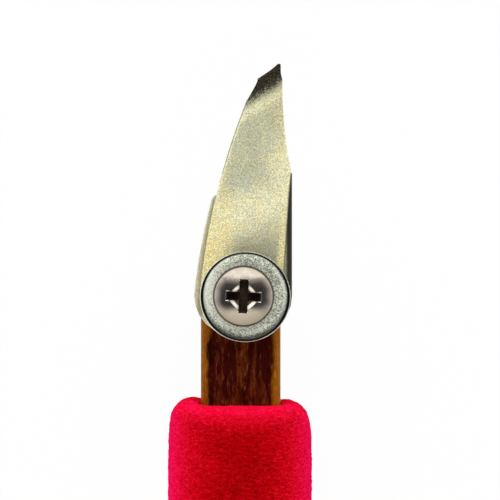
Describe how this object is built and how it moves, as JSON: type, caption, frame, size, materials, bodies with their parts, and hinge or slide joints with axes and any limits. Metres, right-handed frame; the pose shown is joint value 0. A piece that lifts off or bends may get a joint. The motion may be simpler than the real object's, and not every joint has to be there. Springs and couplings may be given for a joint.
{
  "type": "bent carving chisel",
  "caption": "Carving chisel with a skew steel blade bent up at its tip, clamped with a backing plate by a cross-head screw and washer to a wooden stick with a red foam grip.",
  "frame": {"origin": "centre of the foam grip's flat back, on which the tool lies", "axes": "+Y along the handle towards the blade's tip, +X to the right seen from the front, +Z out of the blade's front face"},
  "size_m": [0.0196, 0.1603, 0.0164],
  "materials": {
    "wood": "satin",
    "foam": "matte",
    "plate_steel": "satin",
    "blade_steel": "satin",
    "zinc": "satin",
    "stainless": "gloss"
  },
  "bodies": {
    "handle": {"handle_stick": "wood", "foam_grip": "foam", "rear_washer": "zinc", "clamp_nut": "zinc"},
    "backing_plate": {"backing_plate": "plate_steel"},
    "blade": {"blade": "blade_steel"},
    "clamp_washer": {"clamp_washer": "zinc"},
    "clamp_screw": {"clamp_screw": "stainless"}
  },
  "joints": [
    {"name": "plate_swing", "type": "hinge", "parent": "handle", "child": "backing_plate", "pos_m": [0.0004, 0.0646, 0.0112], "axis": [0, 0, 1], "range_deg": [-110, 110]},
    {"name": "blade_swing", "type": "hinge", "parent": "handle", "child": "blade", "pos_m": [0.0004, 0.0646, 0.0112], "axis": [0, 0, 1], "range_deg": [-110, 110]},
    {"name": "washer_lift", "type": "slide", "parent": "handle", "child": "clamp_washer", "axis": [0, 0, 1], "range_m": [0, 0.0014]},
    {"name": "screw_turn", "type": "hinge", "parent": "clamp_washer", "child": "clamp_screw", "pos_m": [0.0004, 0.0646, 0.0112], "axis": [0, 0, 1], "range_deg": [0, 720]}
  ],
  "couplings": [
    {"joint": "screw_turn", "follows": "washer_lift", "rad_per_m": 8976}
  ]
}
